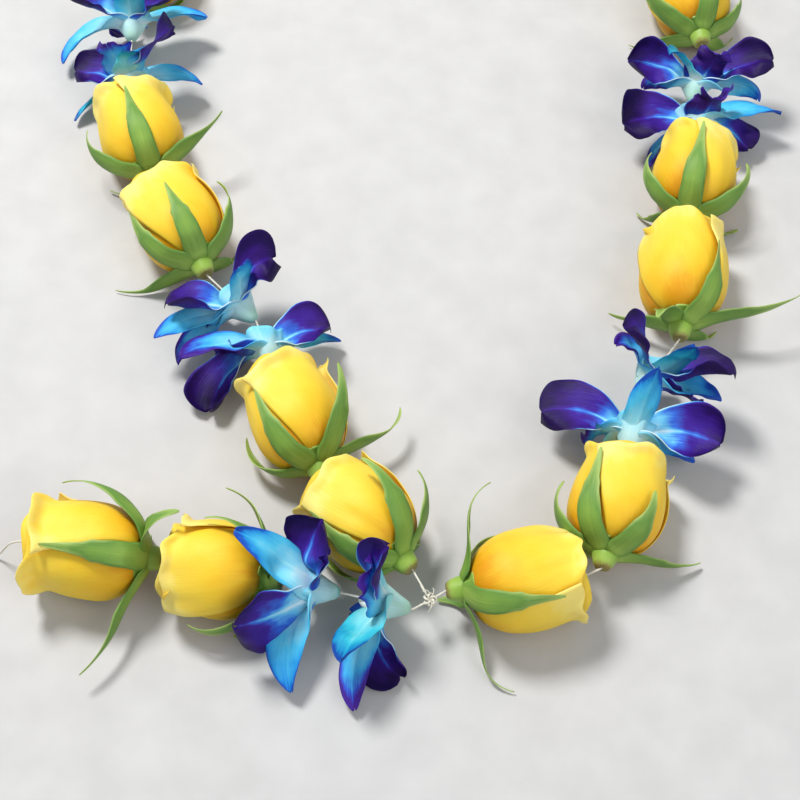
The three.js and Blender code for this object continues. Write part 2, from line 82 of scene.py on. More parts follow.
TEPAL_THICKNESS = 0.7
TEPAL_ROOT = (6, 1.6)
TEPAL_ROOT_LEAN = 38
TEPAL_DENTS = 4
FUNNEL = [(0.6, 1.0), (1.7, 2.3), (3.4, 3.1), (7, 4.8), (11.5, 6.7), (15, 7.9)]
FUNNEL_WALL = 0.8
FUNNEL_OPEN_FROM = 7.0
COLUMN = [(7, 1.8), (11, 2.2), (15.5, 2.2), (18, 1.2), (19, 0.3)]
COLUMN_ASIDE = [(7, 1.0), (12, 2.6), (16, 3.0), (19, 2.2)]  # x, and how far its middle is from the axis

# Across a sepal, petal or lip: full widths by share of its length, how far its face turns up,
# the least and most that it is cupped, the height of its waves, where its tip starts to round off,
# and how far the corners of its end may fold over.
SEPAL_SHAPE = {"width": [(0, 12), (0.14, 14.5), (0.32, 14.5), (0.66, 13), (1, 5)], "turn": 80,
               "cup": (-0.1, 0.45), "waves": 0.6, "tip": 0.8, "corner": 1.2}
PETAL_SHAPE = {"width": [(0, 8), (0.2, 12), (0.4, 17), (0.72, 24), (1, 19)], "turn": 100,
               "cup": (0.15, 0.7), "waves": 1.7, "tip": 0.83, "corner": 4.6}
LIP_SHAPE = {"width": [(0, 8), (0.24, 22), (0.44, 24), (0.6, 17), (0.78, 20), (1, 10)], "turn": 30,
             "cup": (0.3, 0.5), "waves": 1.6, "tip": 0.8, "corner": 2.0}

THREAD_RADIUS = 0.4
THREAD_SPACING = 0.9  # between the rings of points along the thread
TWIST_PITCH = 3.4
FRONT_KNOT_RADIUS = 2.6
FRONT_KNOT_STRAND = 0.45
NECK_TIE_RADIUS = 1.6
KNOT_PITCH = 2.2
FIBRE_RADIUS = 0.17
FIBRE_PITCH = 2.0
FIBRE_POINTS = 14
FIBRE_HEADINGS = (0.9, 1.6, 2.4, -1.2, -2.0)  # of the frayed fibres at the front knot, in radians

# Seeds of the random draws
THREAD_SEED = 5
ROSE_SEED = 101
ORCHID_SEED = 401
BACK_SEED = {"left": 11, "right": 23}

# ---------- Poses: the lean from the flower's axis, in degrees, half way along and at the tip ----------
HUG = (0, 0)
LEAN = (30, -25)
LIFT = (50, 5)
FLARE = (75, 50)
ARCH = (85, 20)
REFLEX = (125, 165)
OVER = (44, 16)
UNDER = (42, 70)
HALF = (55, 62)
OPEN = (70, 90)
SPREAD = (85, 115)
ROLLED = (75, 160)
BACK = (112, 150)

# Looks of a sepal, petal or lip
PALE = "orchid_pale"
CYAN = "orchid_cyan"
EDGED = "orchid_edged"
VIOLET = "orchid_violet"
LIP = "orchid_lip"


def rose(length, heading, mouth, sepals):
    """A rosebud: its length of thread, its heading in degrees, how far its mouth opens, and its sepals,
    each an azimuth, a pose and a length."""
    return {"kind": "rose", "length": length, "heading": heading, "mouth": mouth, "sepals": sepals}


def orchid(length, heading, sepals, petals, lip):
    """An orchid bloom. Each of its leaves is an azimuth, a pose, a length and, where it isn't the usual
    one, a look."""

    def leaf(given, usual, shape):
        look = given[3] if len(given) > 3 else usual
        return (*given[:3], look, shape)

    tepals = [leaf(sepal, CYAN, SEPAL_SHAPE) for sepal in sepals]
    tepals += [leaf(petal, VIOLET, PETAL_SHAPE) for petal in petals]
    tepals.append(leaf(lip, LIP, LIP_SHAPE))
    return {"kind": "orchid", "length": length, "heading": heading, "tepals": tepals}


def bare(length, heading):
    """A length of bare thread."""
    return {"kind": "bare", "length": length, "heading": heading}


LEFT = [
    rose(47, 132, 0.5,
         [(52, HUG, 34), (-22, LEAN, 38), (-80, LIFT, 30), (118, HUG, 30), (-146, FLARE, 26)]),
    rose(51, 113, 0.8,
         [(38, HUG, 34), (-38, LIFT, 36), (-96, ARCH, 38), (112, LEAN, 32), (-146, FLARE, 24)]),
    orchid(23, 110, [(72, SPREAD, 35, EDGED), (-112, SPREAD, 33, PALE), (-150, UNDER, 24)],
           [(122, BACK, 38), (-90, SPREAD, 26)], (112, HALF, 23)),
    orchid(30, 133, [(-14, SPREAD, 26), (84, OPEN, 36), (107, SPREAD, 34, EDGED)],
           [(62, HALF, 30), (-50, ROLLED, 26)], (140, HALF, 20, EDGED)),
    rose(51, 117, 0.2,
         [(60, HUG, 34), (2, HUG, 32), (-68, LEAN, 36), (124, FLARE, 38), (-140, FLARE, 26)]),
    rose(50, 109, 1.2,
         [(4, HUG, 36), (78, LEAN, 34), (-70, FLARE, 34), (140, FLARE, 26), (-138, FLARE, 24)]),
    orchid(32, 93, [(-20, ROLLED, 22, PALE), (-98, SPREAD, 32), (122, BACK, 34, PALE)],
           [(92, OPEN, 25), (-42, OPEN, 32)], (22, OPEN, 20, EDGED)),
    orchid(22, 95, [(0, SPREAD, 26, PALE), (-88, SPREAD, 34), (102, BACK, 38)],
           [(55, SPREAD, 31), (-50, SPREAD, 27)], (150, HALF, 20)),
]
RIGHT = [
    rose(49, 7, 0.2,
         [(-42, HUG, 36), (50, ARCH, 36), (-118, ARCH, 38), (112, LIFT, 28), (170, REFLEX, 18)]),
    bare(6, 25),
    rose(46, 74, 1.0,
         [(32, HUG, 36), (88, LEAN, 30), (-36, LEAN, 26), (-112, FLARE, 34), (146, FLARE, 22)]),
    orchid(25, 78, [(-10, HALF, 30), (-112, SPREAD, 29), (138, BACK, 24, PALE)],
           [(88, SPREAD, 35), (-86, SPREAD, 34)], (116, SPREAD, 20, EDGED)),
    orchid(32, 55, [(-25, OPEN, 28, PALE), (-84, OPEN, 28), (52, ROLLED, 24, EDGED)],
           [(30, SPREAD, 29), (-56, OPEN, 34)], (-106, OPEN, 22)),
    rose(54, 82, 0.3,
         [(-34, HUG, 34), (-82, FLARE, 44), (36, REFLEX, 17), (112, FLARE, 26), (-146, FLARE, 26)]),
    rose(47, 76, 0.4,
         [(4, HUG, 38), (72, LEAN, 30), (-66, LEAN, 32), (132, FLARE, 24), (-134, FLARE, 28)]),
    orchid(20, 95, [(140, BACK, 38, EDGED), (-90, SPREAD, 38), (176, UNDER, 24)],
           [(88, SPREAD, 33), (-110, BACK, 28)], (-25, ROLLED, 20)),
    orchid(34.5, 77, [(38, ROLLED, 24, PALE), (104, ROLLED, 26, EDGED), (-92, ROLLED, 32)],
           [(78, SPREAD, 32), (-66, OPEN, 34)], (-20, OPEN, 20)),
]
TAIL = [
    orchid(25, 166, [(70, OPEN, 32, PALE), (110, SPREAD, 40, EDGED), (176, UNDER, 24)],
           [(134, BACK, 34), (-14, SPREAD, 30)], (-10, OPEN, 23, EDGED)),
    orchid(14.6, 170, [(-8, OVER, 39), (106, SPREAD, 38), (128, OPEN, 30, VIOLET)],
           [(66, OVER, 34), (-40, SPREAD, 26)], (-55, SPREAD, 19)),
    bare(6, 168),
    rose(42, 168, 1.0,
         [(-30, LEAN, 30), (100, LEAN, 30), (-80, LIFT, 34), (144, FLARE, 26), (-142, FLARE, 26)]),
    rose(49, 172, 4,
         [(24, HUG, 38), (-44, LEAN, 40), (100, FLARE, 42), (-20, REFLEX, 26), (-142, FLARE, 26)]),
]
STARTS = {"left": (-6, 11.4), "right": (5.6, 3.4), "tail": (-6, -3.5)}

BACK_PATTERN = ["rose", "rose", "orchid", "orchid", "rose"]
BACK_TURN = {"left": -19.0, "right": 18.1}
BACK_ORCHID_LENGTH = 26
BACK_SEPALS = [(176, UNDER, 25), (58, SPREAD, 31), (-58, SPREAD, 31)]
BACK_PETALS = [(102, OPEN, 31), (-102, OPEN, 31)]
BACK_LIP = (0, HALF, 21)
BACK_ROSE_AZIMUTHS = (0, 72, -72, 132, -132)
BACK_UPPER_POSES = (HUG, LEAN, LIFT, LEAN)
BACK_LOWER_POSES = (LEAN, FLARE)

# The thread's free end: (outwards, to the left, above the surface), from the last rosebud's mouth
LOOSE_ROUTE = [
    (0.4, 0, 16), (2.6, 0, 15.8), (5.2, 0.1, 14.8), (7.6, 0.2, 12.8), (9.6, 0.3, 10), (11.4, 0.4, 6.9),
    (13.2, 0.5, 4), (15.4, 0.5, 1.7), (18.4, 0.4, 0.6), (22, 0.1, 0.45), (27, -0.5, 0.45), (32, -0.9, 0.45),
    (37, -0.8, 0.45), (42, -0.2, 0.45), (47, 0.6, 0.45),
]
LOOSE_PITCH = 2.6
LOOSE_KNOT_RADIUS = 1.2
LOOSE_KNOT_WINDING = 1.05
LOOSE_KNOT_STRAND = 0.3
LOOSE_KNOT_PITCH = 1.8


# ---------- Small mathematics ----------
def smooth_one(points, x):
    """A smooth curve through (x, y) pairs, at one number."""
    last = len(points) - 1
    if x <= points[0][0]:
        return points[0][1]
    if x >= points[last][0]:
        return points[last][1]
    i = next(k for k, p in enumerate(points) if p[0] > x) - 1

    def slope(k):
        a = points[max(k - 1, 0)]
        b = points[min(k + 1, last)]
        return (b[1] - a[1]) / (b[0] - a[0])

    x0, y0 = points[i]
    x1, y1 = points[i + 1]
    h = x1 - x0
    t = (x - x0) / h
    rise = t * t * (3 - 2 * t)
    return y0 + (y1 - y0) * rise + h * (slope(i) * t * (1 - t) ** 2 - slope(i + 1) * t * t * (1 - t))


def smooth(points, x):
    """The same curve, at each of an array's numbers."""
    return np.vectorize(lambda value: smooth_one(points, value), otypes=[float])(x)


def step(low, high, x):
    """From 0 at low to 1 at high, softly."""
    t = np.clip((np.asarray(x, float) - low) / (high - low), 0, 1)
    return t * t * (3 - 2 * t)


def random_from(seed):
    """The same draws as the solid part's, so that the flowers behind the neck agree."""
    state = seed

    def draw(low, high):
        nonlocal state
        state = (state * 1664525 + 1013904223) % 4294967296
        return low + (high - low) * state / 4294967296

    return draw


def place(x, rho, azimuth):
    """Points at a distance rho from a flower's axis. Azimuth 0 is up, and a quarter turn is left."""
    x, rho, azimuth = np.broadcast_arrays(x, rho, azimuth)
    return np.stack([x, rho * np.sin(azimuth), rho * np.cos(azimuth)], -1)


def settled(points, softness, gap=FLOOR_GAP):
    """What would sink into the surface comes to lie on it instead."""
    points = np.array(points, float)
    above = points[..., 2] + AXIS_HEIGHT - gap
    soft = softness * np.exp(np.minimum(above / softness, 1) - 1)
    points[..., 2] += np.where(above < softness, soft - above, 0)
    return points


def unit(vectors):
    return vectors / np.maximum(np.linalg.norm(vectors, axis=-1, keepdims=True), 1e-9)


def turned_about(vector, axis, angle):
    """A vector turned about a unit axis."""
    cosine, sine = math.cos(angle), math.sin(angle)
    return vector * cosine + np.cross(axis, vector) * sine + axis * np.dot(axis, vector) * (1 - cosine)


def distances(path):
    """How far along a path each of its points is."""
    return np.concatenate([[0], np.cumsum(np.linalg.norm(np.diff(path, axis=0), axis=1))])


# ---------- The layout ----------
def back_flowers(name, strand):
    """The flowers behind the neck, which carry the pattern on."""
    draw = random_from(BACK_SEED[name])
    heading = strand[-1]["heading"]
    flowers = []
    for kind in BACK_PATTERN:
        heading += BACK_TURN[name]
        if kind == "orchid":
            first = draw(-25, 25)

            def varied(tepal):
                azimuth = tepal[0] + first + draw(-6, 6)
                pose = (tepal[1][0] + draw(-8, 8), tepal[1][1] + draw(-15, 20))
                return (azimuth, pose, tepal[2] + draw(-3, 3))

            sepals = [varied(t) for t in BACK_SEPALS]
            petals = [varied(t) for t in BACK_PETALS]
            flowers.append(orchid(BACK_ORCHID_LENGTH, heading, sepals, petals, varied(BACK_LIP)))
        else:
            first = draw(-20, 20)
            sepals = []
            for azimuth in BACK_ROSE_AZIMUTHS:
                poses = BACK_LOWER_POSES if abs(azimuth) > 90 else BACK_UPPER_POSES
                pose = poses[int(draw(0, len(poses)))]
                sepals.append((azimuth + first, pose, draw(28, 38)))
            flowers.append(rose(ROSE_LENGTH, heading, draw(0.2, 1.4), sepals))
    return flowers


def laid_out(name, flowers):
    """The flowers with their places and names, and the thread's course through them."""
    x, y = STARTS[name]
    thread, placed = [], []
    counts = {"rose": 0, "orchid": 0}
    for flower in flowers:
        heading = math.radians(flower["heading"])
        thread.append((x, y))
        if flower["kind"] != "bare":
            counts[flower["kind"]] += 1
            label = f"{flower['kind']}_{name}_{counts[flower['kind']]}"
            placed.append({**flower, "x": x, "y": y, "label": label})
        x += flower["length"] * math.cos(heading)
        y += flower["length"] * math.sin(heading)
        thread.append((x, y))
    return placed, thread


left, left_thread = laid_out("left", LEFT + back_flowers("left", LEFT))
right, right_thread = laid_out("right", RIGHT + back_flowers("right", RIGHT))
tail, tail_thread = laid_out("tail", TAIL)


def to_scene(points, x=0.0, y=0.0, heading=0.0):
    """Millimetres in a flower's own frame to metres in the scene."""
    turn = math.radians(heading)
    points = np.asarray(points, float)
    out = np.empty_like(points)
    out[..., 0] = points[..., 0] * math.cos(turn) - points[..., 1] * math.sin(turn) + x + KNOT_AT[0]
    out[..., 1] = points[..., 0] * math.sin(turn) + points[..., 1] * math.cos(turn) + y + KNOT_AT[1]
    out[..., 2] = points[..., 2] + AXIS_HEIGHT
    return out * MM


# ---------- Meshes ----------
class Piece:
    """Closed shells gathered into one mesh, with each point's place on its leaf for the materials."""

    def __init__(self, name):
        self.name = name
        self.points, self.places, self.spans = [], [], []
        self.faces, self.looks, self.used = [], [], []
        self.count = 0

    def add(self, points, faces, places, spans, look):
        """places: share along, share across and tint. spans: millimetres across and along, and tint."""
        points = np.asarray(points, float).reshape(-1, 3)
        if look not in self.looks:
            self.looks.append(look)
        self.points.append(points)
        self.faces.extend([tuple(int(i) + self.count for i in face) for face in faces])
        self.used.extend([self.looks.index(look)] * len(faces))
        self.places.append(np.asarray(places, float).reshape(-1, 3))
        self.spans.append(np.asarray(spans, float).reshape(-1, 3))
        self.count += len(points)

    def made(self, materials, slot, *nodes, at=(0.0, 0.0, 0.0)):
        """The object, in the place of its nodes. at is its x, y and heading."""
        mesh = bpy.data.meshes.new(self.name)
        points = to_scene(np.concatenate(self.points), *at)
        mesh.from_pydata(points.tolist(), [], self.faces)
        for look in self.looks:
            mesh.materials.append(materials[look])
        mesh.polygons.foreach_set("material_index", self.used)
        mesh.polygons.foreach_set("use_smooth", [True] * len(self.faces))
        for name, values in (("leaf_place", self.places), ("leaf_span", self.spans)):
            layer = mesh.attributes.new(name, "FLOAT_VECTOR", "POINT")
            layer.data.foreach_set("vector", np.concatenate(values).astype(np.float32).ravel())
        mesh.update()
        obj = bpy.data.objects.new(self.name, mesh)
        bpy.context.scene.collection.objects.link(obj)
        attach(obj, "root")
        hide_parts(*nodes)
        return obj


def blade(piece, middle, thickness, along, across, span, tint, look):
    """A thin closed leaf about a grid of points, rows from its root to its tip."""
    rows, columns = middle.shape[:2]
    normal = unit(np.cross(np.gradient(middle, axis=1), np.gradient(middle, axis=0)))
    offset = normal * (np.broadcast_to(thickness, (rows, columns))[..., None] / 2)
    under = rows * columns  # from a point on the upper face to the one below it
    a = (np.arange(rows - 1)[:, None] * columns + np.arange(columns - 1)).ravel()
    b = a + under
    root = np.arange(columns - 1)
    tip = (rows - 1) * columns + root
    near = np.arange(rows - 1) * columns
    far = near + columns - 1
    faces = np.stack([a, a + 1, a + 1 + columns, a + columns], -1).tolist()
    faces += np.stack([b, b + columns, b + columns + 1, b + 1], -1).tolist()
    faces += np.stack([root + under, root + 1 + under, root + 1, root], -1).tolist()
    faces += np.stack([tip, tip + 1, tip + 1 + under, tip + under], -1).tolist()
    faces += np.stack([near + columns, near + columns + under, near + under, near], -1).tolist()
    faces += np.stack([far, far + under, far + columns + under, far + columns], -1).tolist()
    places = np.stack([along, np.abs(across), np.full_like(along, tint)], -1).reshape(-1, 3)
    spans = np.concatenate([span, np.full((rows, columns, 1), tint * 50)], -1).reshape(-1, 3)
    points = np.concatenate([(middle + offset).reshape(-1, 3), (middle - offset).reshape(-1, 3)])
    piece.add(points, faces, np.tile(places, (2, 1)), np.tile(spans, (2, 1)), look)


def rings(piece, points, look, tint=0.5, closed=False):
    """A closed solid through rings of points, or a ring of rings."""
    count, sides = points.shape[:2]
    faces = []
    for r in range(count if closed else count - 1):
        a = r * sides + np.arange(sides)
        b = r * sides + (np.arange(sides) + 1) % sides
        up = sides if r + 1 < count else sides * (1 - count)
        faces += np.stack([a, b, b + up, a + up], -1).tolist()
    if not closed:
        faces.append(list(range(sides))[::-1])
        faces.append([(count - 1) * sides + s for s in range(sides)])
    travelled = distances(points.mean(1))
    along = np.repeat(np.linspace(0, 1, count), sides)
    around = np.tile(np.arange(sides) / sides, count)
    places = np.stack([along, np.zeros_like(along), np.full_like(along, tint)], -1)
    spans = np.stack([around * 20, np.repeat(travelled, sides), np.full_like(along, tint * 50)], -1)
    piece.add(points, faces, places, spans, look)


def turned(piece, profile, sides, look, wobble=0.0, tint=0.5, steps=24):
    """A solid of revolution about +X through a smooth profile of (x, radius) pairs."""
    x = np.linspace(profile[0][0], profile[-1][0], steps)
    radius = smooth(profile, x)
    x = np.concatenate([[x[0] - 0.01], x, [x[-1] + 0.01]])
    radius = np.concatenate([[radius[0] * 0.35], radius, [radius[-1] * 0.35]])
    around = -np.arange(sides) * 2 * math.pi / sides
    lobes = 1 + wobble * np.cos(5 * around)
    rings(piece, place(x[:, None], radius[:, None] * lobes[None, :], around[None, :]), look, tint)


def meridian(start, leans, length, shares, clearance=None):
    """A curved path in the half plane at one azimuth: x, rho and lean at each share of its length."""
    steps = 40
    x, rho = start
    track = []
    for i in range(steps + 1):
        lean = math.radians(smooth_one([(0, leans[0]), (0.5, leans[1]), (1, leans[2])], i / steps))
        track.append((x, rho, lean))
        x += math.cos(lean) * length / steps
        rho += math.sin(lean) * length / steps
        if clearance is not None:
            rho = max(rho, clearance(x))
    track = np.array(track)
    at = np.linspace(0, 1, steps + 1)
    return [np.interp(shares, at, track[:, k]) for k in range(3)]


# ---------- Rosebuds ----------
def bud_radius(x, size):
    """The closed bud's radius. size is the bud's length over the usual one."""
    return smooth(BUD, np.asarray(x) / size)


def mouth_roll(x, size, mouth):
    """How far a wide mouth stands out from the closed bud."""
    return mouth * np.maximum(0, (np.asarray(x) / size - MOUTH_FROM) / (ROSE_LENGTH - MOUTH_FROM)) ** 2


def outer_petal(piece, flower, size, turn, draw):
    """One edge lies under the petal before it; the other is free, and rolls out a little near the mouth."""
    rows, columns = 44, 47
    u = (1 - (1 - np.linspace(0, 1, rows)) ** 1.35)[:, None]  # rows lie closer towards the margin
    v = np.linspace(-1, 1, columns)[None, :]  # from the covered edge to the free one
    phase = draw(0, 6.28)
    point = draw(0.0, 1.2)

    # The margin is lower at its edges, with a small point and waves
    margin = PETAL_MARGIN - PETAL_MARGIN_DIP * v**2 + point * np.exp(-(((v - draw(-0.3, 0.3)) / 0.12) ** 2))
    margin = margin + 1.0 * np.sin(5 * v + phase) + 0.6 * np.sin(12 * v - phase)
    x = size * (PETAL_FOOT + (margin - PETAL_FOOT) * u)

    # It lies in its layer of the bud
    under = PETAL_STEP * (1 - v) / 2 + PETAL_THICKNESS / 2
    radius = bud_radius(x, size) - under * np.minimum(1, x / (PETAL_LAID_AT * size))
    radius = radius + mouth_roll(x, size, flower["mouth"])

    # Its free edge stands off, and its margin rolls out
    free = step(0.62, 1.0, v) ** 2 * step(0.1, 0.9, u)
    radius = radius + (draw(0.9, 2.8) + 0.6 * np.sin(7 * u + phase)) * free
    rolled = step(0.78, 1.0, u) ** 2
    roll = draw(0.8, 2.0) + 1.3 * np.sin(3.4 * v + phase) + 0.3 * flower["mouth"]
    radius = radius + roll * rolled
    x = x - 0.55 * np.abs(roll) * rolled * u

    # Soft folds, a waved mouth and dents
    radius = radius + 0.42 * np.sin(4.3 * v + phase + 1.8 * u) * step(0.15, 0.7, u)
    radius = radius + 0.16 * np.sin(11 * v + 2 * phase - 3 * u) * step(0.3, 0.9, u)
    radius = radius + 0.45 * np.sin(9 * v + 2 * phase) * step(0.75, 1, u)
    for _ in range(PETAL_DENTS):
        beside = (v - draw(-0.7, 0.8)) / draw(0.1, 0.25)
        above = (u - draw(0.35, 0.95)) / 0.24
        radius = radius + draw(-0.8, 0.6) * np.exp(-(beside**2) - above**2)

    azimuth = turn + np.radians(PETAL_REACH) * v + np.radians(PETAL_SPIRAL) * (u - 0.5)
    middle = settled(place(x, radius, azimuth), 0.7, 0.4)
    thickness = PETAL_THICKNESS * (1 - 0.5 * step(0.85, 1, np.abs(v))) * (1 - 0.4 * step(0.9, 1, u))
    painted_fold_shade = 0.34 * (1 - step(-0.62, -0.2, v))  # painted shade: its colour is deeper orange beside the edge that the petal before it covers
    along = np.broadcast_to(u - painted_fold_shade, x.shape)
    across = np.broadcast_to(v, x.shape)
    span = np.stack([across * PETAL_HALF_WIDTH, x], -1)
    # Only the free edge takes the paler edge colour: a painted highlight along it.
    blade(piece, middle, thickness, along, np.maximum(across, 0), span, draw(0, 1), "rose_petal")


def inner_petal(piece, flower, size, turn, share, top, draw):
    """A petal in the mouth, at a share of the bud's radius."""
    rows, columns = 18, 19
    u = np.linspace(0, 1, rows)[:, None]
    v = np.linspace(-1, 1, columns)[None, :]
    phase = draw(0, 6.28)
    margin = top - PETAL_MARGIN_DIP * v**2 + draw(0.2, 1.2) * np.exp(-((v / 0.2) ** 2))
    margin = margin + 0.3 * np.sin(6 * v + phase)
    x = size * (INNER_FOOT + (margin - INNER_FOOT) * u)
    radius = share * bud_radius(x, size) - 0.5 * (1 - v) + 0.5 * mouth_roll(x, size, flower["mouth"])
    radius = radius + 0.9 * step(0.8, 1, u) ** 2 + 0.25 * np.sin(5 * v + phase)
    azimuth = turn + np.radians(INNER_REACH) * v
    middle = settled(place(x, np.maximum(radius, 0.9), azimuth), 0.7, 1.2)
    along = np.broadcast_to(u * (0.45 + 0.4 * share), x.shape)
    across = np.broadcast_to(v, x.shape)
    span = np.stack([across * INNER_HALF_WIDTH, x], -1)
    blade(piece, middle, INNER_THICKNESS, along, across, span, draw(0, 1), "rose_petal")


def rose_petals(flower, seed):
    """A rosebud's outer petals, the whorls within them and its closed middle."""
    piece = Piece(f"{flower['label']}_petals_look")
    draw = random_from(seed)
    size = flower["length"] / ROSE_LENGTH
    first = math.radians(flower["sepals"][0][0] + PETAL_TURN)
    for p in range(OUTER_PETALS):
        outer_petal(piece, flower, size, first + 2 * math.pi * p / OUTER_PETALS, draw)
    for share, top, count, offset in INNER_WHORLS:
        for p in range(count):
            turn = first + math.radians(offset) + 2 * math.pi * p / count
            inner_petal(piece, flower, size, turn, share, top, draw)
    turned(piece, [(x * size, r) for x, r in HEART], 16, "rose_petal")
    return piece


def sepal_blade(piece, flower, size, sepal, draw):
    """A sepal, which keeps clear of the petals under it."""
    azimuth, pose, length = sepal

    def clearance(x):
        roll = float(mouth_roll(x, size, flower["mouth"]))
        return smooth_one(BUD, (x + 1.6) / size) + roll + SEPAL_CLEAR * min(1, max(0, x / 6 - 0.8))

    rows, columns = 44, 9
    s = np.linspace(0, 1, rows)
    root = (SEPAL_ROOT[0] * size, SEPAL_ROOT[1])
    x, rho, lean = meridian(root, (SEPAL_ROOT_LEAN, *pose), length, s, clearance)
    turn = math.radians(azimuth)
    side = np.array([0, math.cos(turn), -math.sin(turn)])
    twist = draw(-0.6, 0.6)
    # Broad at its foot, with a small lobe further on and a rounded tip
    half = 1.12 * smooth(SEPAL_WIDTH, s) / 2 + 2.1 * np.exp(-(((s - 0.07) / 0.12) ** 2))
    half = half + draw(0, 0.7) * np.exp(-(((s - draw(0.45, 0.6)) / 0.05) ** 2))
    half = half * np.sqrt(np.clip((1.01 - s) / 0.05, 0.05, 1))
    middle = settled(place(x, rho, turn), 2)
    v = np.linspace(-1, 1, columns)
    cup = draw(0.02, 0.05)
    phase = draw(0, 6.28)
    grid = np.empty((rows, columns, 3))
    for r in range(rows):
        along = place(math.cos(lean[r]), math.sin(lean[r]), turn)
        sideways = turned_about(side, along, twist * s[r] ** 2)
        outward = np.cross(along, sideways)
        outward *= np.sign(np.dot(outward, place(-math.sin(lean[r]), math.cos(lean[r]), turn)))
        bow = -cup * half[r] ** 2 * v**2 + 0.3 * np.sin(9 * s[r] + phase + np.sign(v)) * np.abs(v) ** 3
        grid[r] = middle[r] + sideways * (half[r] * v)[:, None] + outward * bow[:, None]
    grid = settled(grid, 2, 0.5)
    thickness = (1.0 - 0.6 * np.abs(v) ** 1.3)[None, :] * np.clip(1.15 - s, 0.4, 1)[:, None]
    along = np.broadcast_to(s[:, None], (rows, columns))
    across = np.broadcast_to(v[None, :], (rows, columns))
    span = np.stack([across * half[:, None], along * length], -1)
    blade(piece, grid, thickness, along, across, span, draw(0, 1), "rose_sepal")


def rose_calyx(flower, seed):
    """A rosebud's hip and sepals."""
    piece = Piece(f"{flower['label']}_calyx_look")
    draw = random_from(seed)
    size = flower["length"] / ROSE_LENGTH
    turned(piece, [(x * size, r) for x, r in HIP], 28, "rose_hip", wobble=0.02, tint=draw(0, 1))
    for sepal in flower["sepals"]:
        sepal_blade(piece, flower, size, sepal, draw)
    return piece


# ---------- Orchid blooms ----------
def tepal_blade(piece, tepal, draw):
    """A sepal, petal or lip. Its cross-section is an arc, so that a deep cup makes it narrower."""
    azimuth, pose, length, look, shape = tepal
    rows, columns = 46, 23
    s = np.linspace(0, 1, rows)
    turn = math.radians(azimuth)
    face = 0 if pose == OVER else math.radians(shape["turn"])
    x, rho, lean = meridian(TEPAL_ROOT, (TEPAL_ROOT_LEAN, *pose), length, s)
    # Its tip rounds off, and its edges aren't quite even
    rounded = np.clip(s - shape["tip"], 0, 1) / (1.004 - shape["tip"])
    half = smooth(shape["width"], s) / 2 * np.sqrt(1 - rounded**2)
    half = half * (draw(0.94, 1.04) + 0.05 * np.sin(draw(5, 9) * s + draw(0, 6.28))) + 0.12
    middle = settled(place(x, rho, turn), 4)
    v = np.linspace(-1, 1, columns)
    phase = draw(0, 6.28)
    is_lip = shape is LIP_SHAPE
    waves = draw(3.4, 4.6) if is_lip else draw(0.9, 1.7)
    level = np.array([0, math.cos(turn), -math.sin(turn)])
    twist = draw(-0.45, 0.45)
    sweep = draw(-0.08, 0.08) * length
    cup = draw(*shape["cup"])
    hook = draw(-0.6, 2.2)
    notch = draw(-1.8, 1.0)
    if pose == OVER:  # it lies broad and flat on the next flower
        twist, cup = 0, -0.05
        half = half * 1.2
    dents = [(draw(0.35, 0.9), draw(-0.8, 0.8), draw(-1.7, 1.7)) for _ in range(TEPAL_DENTS)]
    uneven = np.where(v < 0, draw(0.74, 1.05), draw(0.74, 1.05))
    fold = np.where(v < 0, draw(-1, 1), draw(-1, 1)) * shape["corner"] * np.abs(v) ** 3
    grid = np.empty((rows, columns, 3))
    for r in range(rows):
        # Three directions at this row: towards the tip, across, and out of its back
        along = place(math.cos(lean[r]), math.sin(lean[r]), turn)
        facing = -face * math.sin(turn) * step(-0.12, 0.42, s[r])
        side = turned_about(level, along, facing + twist * s[r] ** 2)
        back = np.cross(along, side)
        # The cup, which is deeper at the root, and the folded corners
        here = cup * (0.4 + 0.6 * s[r]) + 0.5 * (1 - step(0, 0.4, s[r]))
        across = half[r] * uneven * v * np.sinc(2 * here * v / math.pi)
        bend = -here * half[r] * v**2 + fold * step(0.45, 0.95, s[r])
        # The waves of its edges, then its midrib, the hook of its tip and the dents
        wave = shape["waves"] * step(0.22, 0.75, s[r]) * np.abs(v) ** 2.6
        bend = bend + wave * np.sin(2 * math.pi * waves * s[r] + phase + np.sign(v) * 1.3)
        bend = bend + 0.18 * wave * np.sin(2 * math.pi * 3.3 * waves * s[r] + 2 * phase - np.sign(v))
        bend = bend + 0.4 * np.exp(-((v / 0.12) ** 2)) * (1 - 0.8 * s[r]) + hook * s[r] ** 5
        for low_at, beside, deep in dents:
            bend = bend + deep * np.exp(-(((s[r] - low_at) / 0.11) ** 2) - ((v - beside) / 0.34) ** 2)
        shift = sweep * s[r] ** 2 * (1.5 - s[r])
        grid[r] = middle[r] + side * (across + shift)[:, None] + back * bend[:, None]
        # The notch, or the point, in the middle of its end
        grid[r] += along * (notch * np.exp(-((v / 0.3) ** 2)) * step(0.8, 1, s[r]))[:, None]
    grid = settled(grid, 6, 0.5)
    thickness = TEPAL_THICKNESS * (1 - 0.55 * np.abs(v) ** 3)[None, :] * np.clip(1.25 - s, 0.5, 1)[:, None]
    along = np.broadcast_to(s[:, None], (rows, columns))
    across = np.broadcast_to(v[None, :], (rows, columns))
    span = np.stack([across * half[:, None], along * length], -1)
    blade(piece, grid, thickness, along, across, span, draw(0, 1), look)


